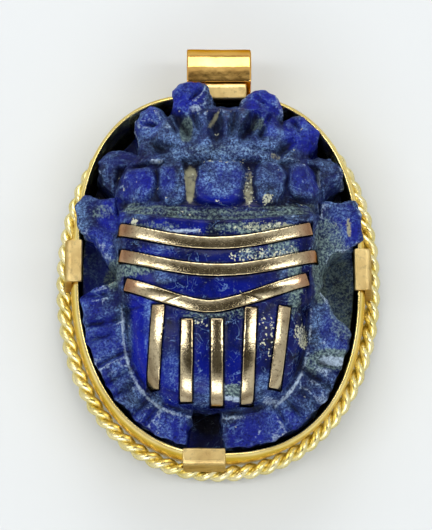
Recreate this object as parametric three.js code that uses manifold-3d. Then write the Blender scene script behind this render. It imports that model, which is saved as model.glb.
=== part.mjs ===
// A scarab amulet: one lapis lazuli beetle with eight inlaid gold strips, held in an open oval
// gold setting with a twisted wire edging, four flat claws and a wide bail.
// Millimetres. +X to the beetle's left wing seen from above, +Y to the bail, +Z up; it lies on its back.
import * as THREE from "three";
import { mergeVertices } from "three/addons/utils/BufferGeometryUtils.js";
import Module from "manifold-3d";

const wasm = await Module();
wasm.setup();

// ---------- driving dimensions ----------

// An oval is given by its half sizes and how full its four corners are: 2 is an ellipse, more is squarer.
const rim = { halfWidth: 8.46, halfLength: 10.85, fullness: [2.55, 2.75, 2.2, 2.5] };
const foot = { halfWidth: 8.78, halfLength: 10.94, fullness: [2.15, 2.15, 2.15, 2.15] };
const wall = { height: 5.2, footHeight: 1.6, thickness: 0.32, chamfer: 0.07, segments: 64 };
const bearing = { height: 1.0, width: 1.35 };
const rope = { halfWidth: 9.31, halfLength: 11.46, fullness: foot.fullness, height: 1.1,
  radius: 0.47, twists: 34, depth: 0.24, stepsPerTwist: 4, sides: 6 };
const claw = { width: 2.45, thickness: 0.4, reach: 0.55, bottom: 1.68 };
const clawPlaces = [
  { name: "claw_right", quarterTurns: 0, along: 0.07 },
  { name: "claw_top", quarterTurns: 1, along: -0.45 },
  { name: "claw_left", quarterTurns: 2, along: -0.58 },
  { name: "claw_bottom", quarterTurns: 3, along: -0.81 },
];
const bail = { centre: 0.05, width: 3.84, thickness: 0.45, bottom: 1.72, top: 5.24, reach: 13.9, seat: 11.45 };
const inlay = { width: 0.7, depth: 0.45, proud: 0.04, gap: 0.03, crossEnd: 6.9, wingEnd: 6.25 };
const clear = 0.05;

const stone = { bottom: 1.05, plateTop: 3.0, shoulder: 5.4 };
const plate = { halfWidth: 8.2, halfLength: 10.4, fullness: foot.fullness };

// The carved masses are pillows: boxy domes on the level where the legs end.
const elytra = { x: -0.1, y: -2.2, halfWidth: 5.1, halfLength: 6.05, rise: 3.2, plan: 2.7, profile: 2.9 };
const pronotum = { x: -0.05, y: 0.6, halfWidth: 5.85, halfLength: 3.6, rise: 3.4, plan: 5, profile: 4 };
const head = { x: 0, y: 4.0, halfWidth: 5.95, halfLength: 3.1, rise: 2.95, plan: 3.4, profile: 3.2 };
const clypeus = { x: 0.1, y: 5.2, halfWidth: 5.0, halfLength: 4.6, rise: 2.3, plan: 2.3, profile: 2.2 };

// Rays of the toothed head and forelegs: root and tip in plan, their widths, top at the root and at the tip.
const rays = [
  { root: [-1.2, 7.4], tip: [-1.55, 11.15], rootWidth: 3.0, tipWidth: 1.5, rootTop: 7.0, tipTop: 6.6 },
  { root: [1.7, 7.2], tip: [3.0, 10.6], rootWidth: 3.4, tipWidth: 2.0, rootTop: 6.9, tipTop: 6.5 },
  { root: [-2.7, 6.2], tip: [-4.4, 9.8], rootWidth: 3.2, tipWidth: 1.6, rootTop: 6.5, tipTop: 5.5 },
  { root: [2.7, 6.0], tip: [5.4, 8.8], rootWidth: 3.4, tipWidth: 1.4, rootTop: 6.7, tipTop: 6.0 },
  { root: [-4.2, 4.9], tip: [-7.1, 6.8], rootWidth: 3.4, tipWidth: 0.8, rootTop: 6.6, tipTop: 5.5 },
  { root: [4.2, 5.0], tip: [7.3, 6.2], rootWidth: 3.0, tipWidth: 0.7, rootTop: 6.6, tipTop: 5.6 },
];

// Middle legs in plan, from the body outwards and back.
const leftMidLeg = [[-4.6, 4.0], [-6.9, 4.1], [-7.85, 4.5], [-8.2, 3.85], [-8.3, 2.7], [-8.05, 2.2], [-7.2, 1.9],
  [-6.6, 0.9], [-5.8, -0.1], [-4.6, -0.4]];
const rightMidLeg = [[4.6, 3.6], [6.1, 3.85], [8.0, 4.15], [8.32, 3.3], [8.42, 1.8], [7.65, 1.2], [6.5, 0.8],
  [6.05, -0.1], [5.9, -1.2], [4.6, -1.2]];
const midLegTop = { inner: 6.4, outer: 5.7 };

// Hind legs: one ring inside the setting, parted by the notch below and cut off at the sides.
const hindLeg = { halfWidth: 8.3, halfLength: 10.6, fullness: [2.4, 2.15, 2.15, 2.4], width: 3.3,
  innerTop: 6.6, outerTop: 5.65 };
const leftHindZone = [[-1.95, -12], [-1.75, -9.4], [-1.5, -8.2], [-0.8, -7.4], [-3.5, 0], [-5.55, -0.65],
  [-6.85, -0.9], [-7.9, -1.6], [-8.5, -2.5], [-9.5, -5], [-9.5, -12]];
const rightHindZone = [[0.55, -12], [0.35, -9.8], [0.1, -8.2], [-0.2, -7.4], [3.5, -1.2], [5.9, -1.4],
  [6.75, -2.7], [7.6, -3.5], [7.95, -4.4], [8.8, -6], [9.5, -12]];
const rib = { width: 0.26, sink: 0.28, length: 4, left: { from: 192, to: 236, count: 9 }, right: { from: 300, to: 332, count: 5 } };

// Grooves of the head: start and end in plan, width and depth below the surface they start from.
const headGrooves = [
  { from: [-1.5, 3.5], to: [-1.5, 5.9], width: 0.6, floor: 7.1 },
  { from: [1.76, 3.3], to: [1.76, 5.9], width: 0.66, floor: 7.0 },
  { from: [4.08, 3.4], to: [4.08, 5.8], width: 0.42, floor: 6.8 },
  { from: [-3.5, 3.6], to: [-3.9, 5.6], width: 0.4, floor: 6.9 },
  { from: [-1.6, 7.1], to: [-2.4, 9.0], width: 0.6, floor: 5.9 },
  { from: [-0.9, 7.2], to: [-1.3, 8.6], width: 0.32, floor: 6.3 },
  { from: [-0.2, 7.1], to: [-0.2, 8.9], width: 0.7, floor: 6.0 },
  { from: [1.2, 7.2], to: [2.2, 8.9], width: 0.55, floor: 5.9 },
];
const neck = { y: 2.75, rise: 0.75, halfSpan: 5.9, width: 0.5, floor: 7.75 };

const crossStrips = [
  { name: "inlay_cross_upper", from: -5.73, to: 5.35, middle: 1.0, rise: 1.0, softness: 6 },
  { name: "inlay_cross_middle", from: -5.65, to: 5.68, middle: -0.55, rise: 1.02, softness: 6 },
  { name: "inlay_cross_lower", from: -5.3, to: 5.1, middle: -2.6, rise: 1.5, softness: 1.2, lowest: -0.5 },
];
const wingStrips = [
  { name: "inlay_wing_1", top: [-3.38, -2.45], end: [-3.72, -7.1] },
  { name: "inlay_wing_2", top: [-1.75, -3.3], end: [-1.82, -7.85] },
  { name: "inlay_wing_3", top: [-0.07, -3.3], end: [-0.07, -8.08] },
  { name: "inlay_wing_4", top: [1.85, -2.65], end: [1.62, -8.0] },
  { name: "inlay_wing_5", top: [3.77, -2.5], end: [3.2, -7.1] },
];

const lapis = new THREE.MeshStandardMaterial({ color: "#1f2a86", roughness: 0.45, metalness: 0 });
const yellowGold = new THREE.MeshStandardMaterial({ color: "#d9bf6a", roughness: 0.3, metalness: 1 });
const roseGold = new THREE.MeshStandardMaterial({ color: "#a8926a", roughness: 0.45, metalness: 1 });

// ---------- helpers ----------

// A closed oval curve in the XY plane, whose four corners may differ, as hand work does.
class Oval extends THREE.Curve {
  constructor({ halfWidth, halfLength, fullness }) {
    super();
    Object.assign(this, { halfWidth, halfLength, fullness });
  }

  getPoint(t) {
    const angle = 2 * Math.PI * t;
    const across = Math.cos(angle);
    const along = Math.sin(angle);
    const corner = along >= 0 ? (across >= 0 ? 0 : 1) : (across < 0 ? 2 : 3);
    const power = 2 / this.fullness[corner];
    return new THREE.Vector3(
      this.halfWidth * signedPower(across, power),
      this.halfLength * signedPower(along, power),
      0,
    );
  }
}

function signedPower(value, power) {
  return Math.sign(value) * Math.abs(value) ** power;
}

function moveVertices(geometry, move) {
  const position = geometry.attributes.position;
  const vertex = new THREE.Vector3();
  for (let i = 0; i < position.count; i += 1) {
    vertex.fromBufferAttribute(position, i);
    move(vertex);
    position.setXYZ(i, vertex.x, vertex.y, vertex.z);
  }
  return geometry;
}

function toSolid(geometry) {
  geometry.deleteAttribute("normal");
  geometry.deleteAttribute("uv");
  const merged = mergeVertices(geometry, 1e-4);
  return new wasm.Manifold(new wasm.Mesh({
    numProp: 3,
    vertProperties: new Float32Array(merged.attributes.position.array),
    triVerts: new Uint32Array(merged.index.array),
  }));
}

function toMesh(name, solid, material) {
  const { vertProperties, triVerts } = solid.getMesh();
  const geometry = new THREE.BufferGeometry();
  geometry.setAttribute("position", new THREE.BufferAttribute(new Float32Array(vertProperties), 3));
  geometry.setIndex(new THREE.BufferAttribute(new Uint32Array(triVerts), 1));
  geometry.computeVertexNormals();
  const mesh = new THREE.Mesh(geometry, material);
  mesh.name = name;
  return mesh;
}

// A prism on a plan outline; its top is a height or a height for each place.
function slab(outline, bottom, top) {
  const shape = new THREE.Shape(outline.map(([x, y]) => new THREE.Vector2(x, y)));
  const geometry = new THREE.ExtrudeGeometry(shape, { depth: 1, bevelEnabled: false });
  const topAt = typeof top === "function" ? top : () => top;
  return toSolid(moveVertices(geometry, (v) => {
    v.z = bottom + v.z * (topAt(v.x, v.y) - bottom);
  }));
}

// A boxy dome with straight skirts, standing on the level of the shoulders.
function pillow(form, grow = 0) {
  const geometry = new THREE.SphereGeometry(1, 24, 14).rotateX(Math.PI / 2);
  const round = 2 / form.profile;
  return toSolid(moveVertices(geometry, (v) => {
    const turn = Math.atan2(v.y, v.x);
    const out = Math.hypot(v.x, v.y) ** round;
    v.set(
      form.x + (form.halfWidth + grow) * out * signedPower(Math.cos(turn), 2 / form.plan),
      form.y + (form.halfLength + grow) * out * signedPower(Math.sin(turn), 2 / form.plan),
      stone.shoulder + (form.rise + grow) * signedPower(v.z, round),
    );
  }));
}

// The straight wall below a pillow, down into the base plate.
function skirt(form) {
  const edge = new Oval({ ...form, fullness: Array(4).fill(form.plan) });
  const outline = edge.getPoints(32).slice(0, -1).map((p) => [form.x + p.x, form.y + p.y]);
  return slab(outline, stone.plateTop - 0.5, stone.shoulder);
}

// A ring turned on a profile of [out, up] points and bent round an oval that may change with height.
function ovalRing(profile, placeAt) {
  const turningRadius = 10;
  const points = profile.map(([out, up]) => new THREE.Vector2(turningRadius + out, up));
  points.push(points[0].clone());
  const geometry = new THREE.LatheGeometry(points, wall.segments).rotateX(Math.PI / 2);
  return toSolid(moveVertices(geometry, (v) => {
    const t = (Math.atan2(v.y, v.x) / (2 * Math.PI) + 1) % 1;
    v.copy(placeAt(t, Math.hypot(v.x, v.y) - turningRadius, v.z));
  }));
}

function stepOut(curve, t, out, up) {
  const tangent = curve.getTangentAt(t);
  const point = curve.getPointAt(t);
  return new THREE.Vector3(point.x + tangent.y * out, point.y - tangent.x * out, up);
}

const rimOval = new Oval(rim);
const footOval = new Oval(foot);

// The wall runs straight from the foot oval to the rim oval.
function onWall(t, out, up) {
  const share = THREE.MathUtils.clamp((up - wall.footHeight) / (wall.height - wall.footHeight), 0, 1);
  return stepOut(footOval, t, out, up).lerp(stepOut(rimOval, t, out, up), share).setZ(up);
}

// A groove cutter along a straight line in plan, open above its floor.
function straightCut({ from, to, width, floor }) {
  const [x0, y0] = from;
  const [x1, y1] = to;
  const length = Math.hypot(x1 - x0, y1 - y0);
  const ax = (-(y1 - y0) / length) * width / 2;
  const ay = ((x1 - x0) / length) * width / 2;
  return slab([[x0 - ax, y0 - ay], [x0 + ax, y0 + ay], [x1 + ax, y1 + ay], [x1 - ax, y1 - ay]], floor, 12);
}

// Height of a cross strip's middle line over its lowest place, a soft V that a large softness makes an arc.
function strapRise(x, { from, to, rise, softness, lowest = (from + to) / 2 }) {
  const half = (to - from) / 2;
  const away = Math.abs(x - lowest);
  return rise * (Math.hypot(away, softness) - softness) / (Math.hypot(half, softness) - softness);
}

// The plan outline of a bent strap between two lengthwise edges.
function strapOutline(bend, width) {
  const { from, to, middle } = bend;
  const steps = 10;
  const low = [];
  const high = [];
  for (let i = 0; i <= steps; i += 1) {
    const x = from + ((to - from) * i) / steps;
    const y = middle + strapRise(x, bend);
    low.push([x, y - width / 2]);
    high.unshift([x, y + width / 2]);
  }
  return [...low, ...high];
}

function barOutline([x0, y0], [x1, y1], width) {
  return [[x0 - width / 2, y0], [x1 - width / 2, y1], [x1 + width / 2, y1], [x0 + width / 2, y0]];
}

// ---------- the stone ----------

function bodySkin(grow) {
  return pillow(elytra, grow).add(pillow(pronotum, grow));
}

function basePlate() {
  const outline = new Oval(plate).getPoints(60).slice(0, -1).map((p) => [p.x, p.y]);
  return slab(outline, stone.bottom, stone.plateTop);
}

function ray({ root, tip, rootWidth, tipWidth, rootTop, tipTop }) {
  const along = new THREE.Vector2(tip[0] - root[0], tip[1] - root[1]);
  const length = along.length();
  along.normalize();
  const place = (far, side) => [root[0] + along.x * far - along.y * side, root[1] + along.y * far + along.x * side];
  const outline = [
    place(0, -rootWidth / 2),
    place(length * 0.8, -tipWidth / 2),
    place(length, -tipWidth / 5),
    place(length * 0.97, tipWidth / 3),
    place(length * 0.7, tipWidth / 2),
    place(0, rootWidth / 2),
  ];
  const top = (x, y) => {
    const far = (x - root[0]) * along.x + (y - root[1]) * along.y;
    return THREE.MathUtils.lerp(rootTop, tipTop, far / length);
  };
  return slab(outline, stone.plateTop - 0.5, top);
}

function midLeg(outline) {
  const innerX = 4.6;
  const outerX = 8.4;
  const top = (x) => THREE.MathUtils.mapLinear(Math.abs(x), innerX, outerX, midLegTop.inner, midLegTop.outer);
  return slab(outline, stone.plateTop - 0.5, top);
}

function hindLegs() {
  const edge = new Oval(hindLeg);
  const below = stone.plateTop - 0.5;
  const profile = [[0, below], [0, hindLeg.outerTop], [-hindLeg.width, hindLeg.innerTop], [-hindLeg.width, below]];
  const ring = ovalRing(profile, (t, out, up) => stepOut(edge, t, out, up));
  const zones = slab(leftHindZone, 0, 12).add(slab(rightHindZone, 0, 12));
  return ring.intersect(zones);
}

// Shallow V cuts across the hind legs, spread evenly between two bearings round the oval.
function ribCuts() {
  const cuts = [];
  for (const { from, to, count } of [rib.left, rib.right]) {
    for (let i = 0; i < count; i += 1) {
      const bearingAngle = THREE.MathUtils.degToRad(from + ((to - from) * i) / (count - 1));
      const outward = new THREE.Vector2(Math.cos(bearingAngle), Math.sin(bearingAngle));
      const cutter = new THREE.CylinderGeometry(rib.width, rib.width, rib.length, 4);
      cutter.rotateZ(Math.PI / 2).rotateY(Math.atan2(hindLeg.innerTop - hindLeg.outerTop, hindLeg.width));
      cutter.rotateZ(bearingAngle);
      const far = new Oval(hindLeg).getPoint(bearingAngle / (2 * Math.PI));
      cutter.translate(far.x - outward.x * 0.9, far.y - outward.y * 0.9, hindLeg.outerTop + rib.sink);
      cuts.push(toSolid(cutter));
    }
  }
  return cuts;
}

// Everything that the setting's wall takes up, with room round it.
function wallRoom() {
  const inside = -wall.thickness - clear;
  const { height, footHeight } = wall;
  const profile = [[inside, 0], [3, 0], [3, height + clear], [inside, height + clear], [inside, height],
    [inside, footHeight]];
  return ovalRing(profile, onWall);
}

// The room that a claw's bent end needs in the stone.
function clawRoom(place) {
  const { rimOut } = wallAtClaw(place);
  const depth = 3;
  const room = new THREE.BoxGeometry(depth, claw.width + 2 * clear, depth);
  room.translate(rimOut - claw.reach - clear + depth / 2, 0, wall.height + depth / 2);
  return toSolid(turnToClaw(room, place));
}

function neckGroove() {
  const bend = { from: -neck.halfSpan, to: neck.halfSpan, middle: neck.y, rise: neck.rise, softness: 6 };
  return slab(strapOutline(bend, neck.width), neck.floor - 0.9, 12).subtract(pillow(head, -0.35));
}

function inlayOutlines(grow) {
  const cross = crossStrips.map((strip) => {
    const longer = { ...strip, from: strip.from - grow, to: strip.to + grow };
    return { name: strip.name, bottom: inlay.crossEnd, outline: strapOutline(longer, inlay.width + 2 * grow) };
  });
  const wing = wingStrips.map(({ name, top, end }) => {
    const outline = barOutline([top[0], top[1] + grow], [end[0], end[1] - grow], inlay.width + 2 * grow);
    return { name, bottom: inlay.wingEnd, outline };
  });
  return [...cross, ...wing];
}

function scarab() {
  let solid = basePlate();
  const masses = [
    ...[elytra, pronotum, head, clypeus].flatMap((form) => [pillow(form), skirt(form)]),
    ...rays.map(ray),
    midLeg(leftMidLeg),
    midLeg(rightMidLeg),
    hindLegs(),
  ];
  for (const mass of masses) solid = solid.add(mass);
  const channelFloor = bodySkin(-inlay.depth - inlay.gap);
  const channels = inlayOutlines(inlay.gap).map(({ bottom, outline }) => (
    slab(outline, bottom - inlay.gap, 12).subtract(channelFloor)
  ));
  const cuts = [wallRoom(), ...clawPlaces.map(clawRoom), neckGroove(), ...headGrooves.map(straightCut), ...ribCuts(), ...channels];
  for (const cut of cuts) solid = solid.subtract(cut);
  return toMesh("scarab", solid, lapis);
}

function inlays() {
  const top = bodySkin(inlay.proud);
  const under = bodySkin(-inlay.depth);
  return inlayOutlines(0).map(({ name, bottom, outline }) => {
    const strip = slab(outline, bottom, 12).intersect(top).subtract(under);
    return toMesh(name, strip, roseGold);
  });
}

// ---------- the setting ----------

function collet() {
  const { height, footHeight, thickness, chamfer } = wall;
  const profile = [
    [0, 0],
    [0, footHeight],
    [0, height - chamfer],
    [-chamfer, height],
    [-thickness + chamfer, height],
    [-thickness, height - chamfer],
    [-thickness, footHeight],
    [-thickness, bearing.height],
    [-bearing.width, bearing.height],
    [-bearing.width, 0],
  ];
  return toMesh("collet", ovalRing(profile, onWall), yellowGold);
}

// Two round strands twisted together, bent round the foot of the wall.
function ropeEdging() {
  const turningRadius = 10;
  const steps = rope.twists * rope.stepsPerTwist;
  const geometry = new THREE.TorusGeometry(turningRadius, rope.radius, rope.sides, steps);
  const path = new Oval(rope);
  moveVertices(geometry, (v) => {
    const t = (Math.atan2(v.y, v.x) / (2 * Math.PI) + 1) % 1;
    const out = Math.hypot(v.x, v.y) - turningRadius;
    const side = Math.atan2(v.z, out);
    const strand = Math.cos(2 * side - 2 * Math.PI * rope.twists * t);
    const swell = 1 - rope.depth * (1 - strand) / 2;
    v.copy(stepOut(path, t, out * swell, rope.height + v.z * swell));
  });
  return toMesh("rope_edging", toSolid(geometry), yellowGold);
}

// Turns what stands on +X to a claw's side of the amulet.
function turnToClaw(geometry, { quarterTurns, along }) {
  return geometry.translate(0, along, 0).rotateZ((quarterTurns * Math.PI) / 2);
}

function wallAtClaw({ quarterTurns }) {
  const half = quarterTurns % 2 === 0 ? "halfWidth" : "halfLength";
  return { rimOut: rim[half], footOut: foot[half] };
}

// A flat strap up the outside of the wall and bent over the rim.
function clawStrap(place) {
  const { rimOut, footOut } = wallAtClaw(place);
  const { thickness, reach, bottom, width } = claw;
  const under = wall.height + clear;
  const top = under + thickness;
  const corner = 0.22;
  const edge = 0.06;
  const profile = new THREE.Shape([
    new THREE.Vector2(footOut + clear, bottom),
    new THREE.Vector2(footOut + clear + thickness, bottom),
    new THREE.Vector2(rimOut + clear + thickness, top - corner),
    new THREE.Vector2(rimOut + clear + thickness - corner, top),
    new THREE.Vector2(rimOut - reach + edge, top),
    new THREE.Vector2(rimOut - reach, top - edge),
    new THREE.Vector2(rimOut - reach, under),
    new THREE.Vector2(rimOut + clear, under),
  ]);
  const geometry = new THREE.ExtrudeGeometry(profile, { depth: width, bevelEnabled: false });
  geometry.translate(0, 0, -width / 2).rotateX(Math.PI / 2);
  return toMesh(place.name, toSolid(turnToClaw(geometry, place)), yellowGold);
}

function bailOutline(grow, seat) {
  const radius = (bail.top - bail.bottom) / 2 + grow;
  const middle = (bail.top + bail.bottom) / 2;
  const bendY = bail.reach - (bail.top - bail.bottom) / 2;
  const outline = new THREE.Path();
  outline.moveTo(seat, middle - radius);
  outline.lineTo(bendY, middle - radius);
  outline.absarc(bendY, middle, radius, -Math.PI / 2, Math.PI / 2, false);
  outline.lineTo(seat, middle + radius);
  return outline.getPoints(10);
}

// A wide band bent into a loop, its axis across the amulet, with a chain's way through along X.
function bailLoop() {
  const loop = new THREE.Shape(bailOutline(0, bail.seat));
  loop.holes.push(new THREE.Path(bailOutline(-bail.thickness, bail.seat + bail.thickness)));
  const geometry = new THREE.ExtrudeGeometry(loop, { depth: bail.width, bevelEnabled: false });
  geometry.translate(0, 0, -bail.width / 2).rotateY(Math.PI / 2).rotateX(Math.PI / 2);
  geometry.translate(bail.centre, 0, 0);
  return toMesh("bail", toSolid(geometry), yellowGold);
}

const amulet = new THREE.Group();
amulet.add(scarab(), ...inlays(), collet(), ropeEdging(), ...clawPlaces.map(clawStrap), bailLoop());

// The origin goes under the middle of the whole amulet's box.
const box = new THREE.Box3().setFromObject(amulet);
const centre = box.getCenter(new THREE.Vector3());
amulet.position.set(-centre.x, -centre.y, -box.min.z);

export default amulet;
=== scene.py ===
import math

import bmesh
import bpy
import numpy as np
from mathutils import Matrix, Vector


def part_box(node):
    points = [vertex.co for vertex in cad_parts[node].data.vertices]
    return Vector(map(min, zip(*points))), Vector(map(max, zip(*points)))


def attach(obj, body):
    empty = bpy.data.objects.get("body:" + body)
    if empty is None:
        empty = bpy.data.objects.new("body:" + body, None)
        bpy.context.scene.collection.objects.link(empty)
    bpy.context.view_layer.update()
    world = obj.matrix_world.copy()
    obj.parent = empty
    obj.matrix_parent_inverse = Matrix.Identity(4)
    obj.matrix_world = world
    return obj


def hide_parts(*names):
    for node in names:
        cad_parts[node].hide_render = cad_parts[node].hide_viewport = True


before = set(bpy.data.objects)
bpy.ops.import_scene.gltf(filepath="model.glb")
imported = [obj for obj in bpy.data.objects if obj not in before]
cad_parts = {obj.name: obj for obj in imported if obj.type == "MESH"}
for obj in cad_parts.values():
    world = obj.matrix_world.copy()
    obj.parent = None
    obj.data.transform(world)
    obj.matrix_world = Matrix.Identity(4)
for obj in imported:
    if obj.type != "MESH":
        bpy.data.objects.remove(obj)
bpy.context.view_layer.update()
print("frame loaded:", len(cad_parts), "nodes")

# Everything below is in millimetres from the middle of the setting, on the plane the pendant lies on.
ropeLow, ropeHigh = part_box("rope_edging")
wallLow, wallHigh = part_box("collet")
settingMiddle = Vector(((ropeLow.x + ropeHigh.x) / 2, (ropeLow.y + ropeHigh.y) / 2, wallLow.z))
rimTop = (wallHigh.z - wallLow.z) * 1000
bailLow, bailHigh = (1000 * (corner - settingMiddle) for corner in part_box("bail"))
millimetre = 0.001


def linearColour(hexColour, alpha=1.0):
    # sRGB hex to the linear values that shaders take
    parts = [int(hexColour[i:i + 2], 16) / 255 for i in (1, 3, 5)]
    return (*[c / 12.92 if c <= 0.04045 else ((c + 0.055) / 1.055) ** 2.4 for c in parts], alpha)


def atHeight(plan, up):
    # points in plan stood at one height
    return np.column_stack([plan, np.full(len(plan), up)])


def signedPower(value, power):
    return np.sign(value) * np.abs(value) ** power


def smoothStep(low, high, value):
    t = np.clip((value - low) / (high - low), 0, 1)
    return t * t * (3 - 2 * t)


def latticeHash(cells, seed):
    # a repeatable whole number from 0 to 65535 for each lattice cell
    key = (cells * np.array([374761393, 668265263, 2147483629])).sum(1) + seed * 1013904223
    key = ((key ^ (key >> 13)) * 1274126177) & 0xffffffff
    return (key ^ (key >> 16)) & 0xffff


def softNoise(points, size, seed, octaves=3):
    # lattice noise from -1 to 1, its largest lumps `size` millimetres across
    total = np.zeros(len(points))
    weight = 0.0
    for octave in range(octaves):
        cell = points * (2 ** octave / size) + 17.3 * (octave + 1)
        base = np.floor(cell).astype(np.int64)
        share = cell - base
        share = share * share * (3 - 2 * share)
        layer = np.zeros(len(points))
        for corner in range(8):
            offset = np.array([corner & 1, corner >> 1 & 1, corner >> 2 & 1])
            value = latticeHash(base + offset, seed) / 32767.5 - 1
            layer += value * np.prod(np.where(offset, share, 1 - share), axis=1)
        total += layer / 2 ** octave
        weight += 1 / 2 ** octave
    return total / weight


def chipScars(points, size, seed):
    # hollow scars left by single tool blows: 0 in their middles, up to 1 on the ridges between
    cell = points / size + 31.7
    base = np.floor(cell).astype(np.int64)
    nearest = np.full(len(points), 9.0)
    for step in range(27):
        near = base + np.array([step % 3 - 1, step // 3 % 3 - 1, step // 9 - 1])
        gap = [cell[:, axis] - near[:, axis] - latticeHash(near, seed + axis) / 65535 for axis in range(3)]
        away = gap[0] ** 2 + gap[1] ** 2 + gap[2] ** 2 + 0.25 * (latticeHash(near, seed + 7) / 65535)
        nearest = np.minimum(nearest, away)
    return np.clip(nearest, 0, 1)


def standingProud(mesh, points, normals, rounds):
    # how far each place stands out of its smoothed surroundings, in millimetres: ridges +, hollows -
    ends = np.empty(len(mesh.edges) * 2, np.int32)
    mesh.edges.foreach_get("vertices", ends)
    one, other = ends[0::2], ends[1::2]
    count = np.bincount(one, minlength=len(points)) + np.bincount(other, minlength=len(points))
    smooth = points.copy()
    for _ in range(rounds):
        for axis in range(3):
            level = smooth[:, axis]
            total = np.bincount(one, level[other], len(level)) + np.bincount(other, level[one], len(level))
            smooth[:, axis] = total / np.maximum(count, 1)
    return ((points - smooth) * normals).sum(1)


def placeObject(name, data):
    item = bpy.data.objects.new(name, data)
    bpy.context.scene.collection.objects.link(item)
    return item


def loft(name, sections, closed=False):
    # a solid through loops of points: joined end to end if closed, else capped at both ends
    rings = np.asarray(sections, float)
    count, around, _ = rings.shape
    mesh = bpy.data.meshes.new(name)
    faces = []
    for i in range(count if closed else count - 1):
        a, b = i * around, (i + 1) % count * around
        faces += [(a + j, a + (j + 1) % around, b + (j + 1) % around, b + j) for j in range(around)]
    if not closed:
        faces += [tuple(reversed(range(around))), tuple(range((count - 1) * around, count * around))]
    mesh.from_pydata(rings.reshape(-1, 3).tolist(), [], faces)
    shell = bmesh.new()
    shell.from_mesh(mesh)
    bmesh.ops.recalc_face_normals(shell, faces=shell.faces)
    shell.to_mesh(mesh)
    shell.free()
    return placeObject(name, mesh)


def applyModifier(piece, kind, **settings):
    modifier = piece.modifiers.new(kind, kind)
    for key, value in settings.items():
        setattr(modifier, key, value)
    graph = bpy.context.evaluated_depsgraph_get()
    mesh = bpy.data.meshes.new_from_object(piece.evaluated_get(graph))
    old = piece.data
    piece.modifiers.clear()
    piece.data = mesh
    mesh.name = piece.name
    bpy.data.meshes.remove(old)
    return piece


def cutWith(piece, cutter, operation="DIFFERENCE"):
    return applyModifier(piece, "BOOLEAN", operation=operation, object=cutter, solver="MANIFOLD")


def throwAway(piece):
    mesh = piece.data
    bpy.data.objects.remove(piece)
    bpy.data.meshes.remove(mesh)


def joined(name, pieces):
    # several closed shells in one object, for the remesh to melt into one
    shell = bmesh.new()
    for piece in pieces:
        shell.from_mesh(piece.data)
    mesh = bpy.data.meshes.new(name)
    shell.to_mesh(mesh)
    shell.free()
    for piece in pieces:
        throwAway(piece)
    return placeObject(name, mesh)


def readVectors(mesh, kind="co"):
    # the place of each vertex, or with "normal" the way it faces
    vectors = np.empty(len(mesh.vertices) * 3)
    mesh.vertices.foreach_get(kind, vectors)
    return vectors.reshape(-1, 3)


def writePoints(mesh, points):
    mesh.vertices.foreach_set("co", np.ascontiguousarray(points).reshape(-1))
    mesh.update()


def writeAmount(mesh, name, amount):
    # a 0 to 1 amount at each vertex, for the material to read
    layer = mesh.attributes.new(name, "FLOAT", "POINT")
    layer.data.foreach_set("value", np.clip(amount, 0, 1).astype(np.float32))


def meltTogether(piece, grain, smoothing):
    # one even skin over overlapping shells, its edges worn round
    applyModifier(piece, "REMESH", mode="VOXEL", voxel_size=grain, adaptivity=0)
    if smoothing:
        applyModifier(piece, "SMOOTH", factor=0.5, iterations=smoothing)
    return piece


def roughen(piece, layers):
    # moves the skin in and out by [(amount, size, seed)]
    points = readVectors(piece.data)
    normals = readVectors(piece.data, "normal")
    for amount, size, seed in layers:
        points += normals * (amount * softNoise(points, size, seed))[:, None]
    writePoints(piece.data, points)
    return piece


def finishPiece(piece, material, slot, *nodes):
    # millimetres from the middle of the setting become metres in the frame
    points = readVectors(piece.data) * millimetre + np.array(settingMiddle)
    writePoints(piece.data, points)
    piece.data.materials.clear()
    piece.data.materials.append(material)
    piece.data.polygons.foreach_set("use_smooth", [True] * len(piece.data.polygons))
    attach(piece, "root")
    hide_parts(*nodes)
    return piece


def addNode(tree, kind, *values, out=0, links=None, **named):
    # One node; gives back the output asked for. Values fill its sockets in order, a capital letter names
    # a socket, small letters name a setting. A value is a number, a colour or another node's output.
    node = tree.nodes.new("ShaderNode" + kind)
    links = dict(enumerate(values)) | (links or {})
    for name, value in named.items():
        if name[0].isupper():
            links[name.replace("_", " ")] = value
        else:
            setattr(node, name, value)
    for socket, value in links.items():
        if isinstance(value, bpy.types.NodeSocket):
            tree.links.new(value, node.inputs[socket])
        else:
            node.inputs[socket].default_value = value
    return node.outputs[out] if node.outputs else node


# An oval has half sizes and the fullness of its four corners: 2 is an ellipse, more is squarer.
rimOval = {"halfWidth": 8.46, "halfLength": 10.85, "fullness": (2.55, 2.75, 2.2, 2.5)}
footOval = {"halfWidth": 8.78, "halfLength": 10.94, "fullness": (2.15,) * 4}
wallFoot = 1.6  # the height where the wall starts to lean in


def ovalPoint(oval, angle):
    # points at angles round an oval, and the outward directions there
    def at(a):
        across, along = np.cos(a), np.sin(a)
        corner = np.where(along >= 0, np.where(across >= 0, 0, 1), np.where(across < 0, 2, 3))
        power = 2 / np.asarray(oval["fullness"])[corner]
        return np.stack([oval["halfWidth"] * signedPower(across, power),
                         oval["halfLength"] * signedPower(along, power)], -1)
    place = at(angle)
    ahead = at(angle + 1e-4) - at(angle - 1e-4)
    ahead /= np.linalg.norm(ahead, axis=-1, keepdims=True)
    return place, np.stack([ahead[..., 1], -ahead[..., 0]], -1)


def evenAngles(oval, count):
    # angles that stand the same way apart along the oval
    angles = np.linspace(0, 2 * math.pi, 4001)
    place, _ = ovalPoint(oval, angles)
    run = np.concatenate([[0], np.cumsum(np.linalg.norm(np.diff(place, axis=0), axis=1))])
    return np.interp(np.linspace(0, run[-1], count, endpoint=False), run, angles)


def evenPoints(oval, count):
    return ovalPoint(oval, evenAngles(oval, count))


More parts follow.
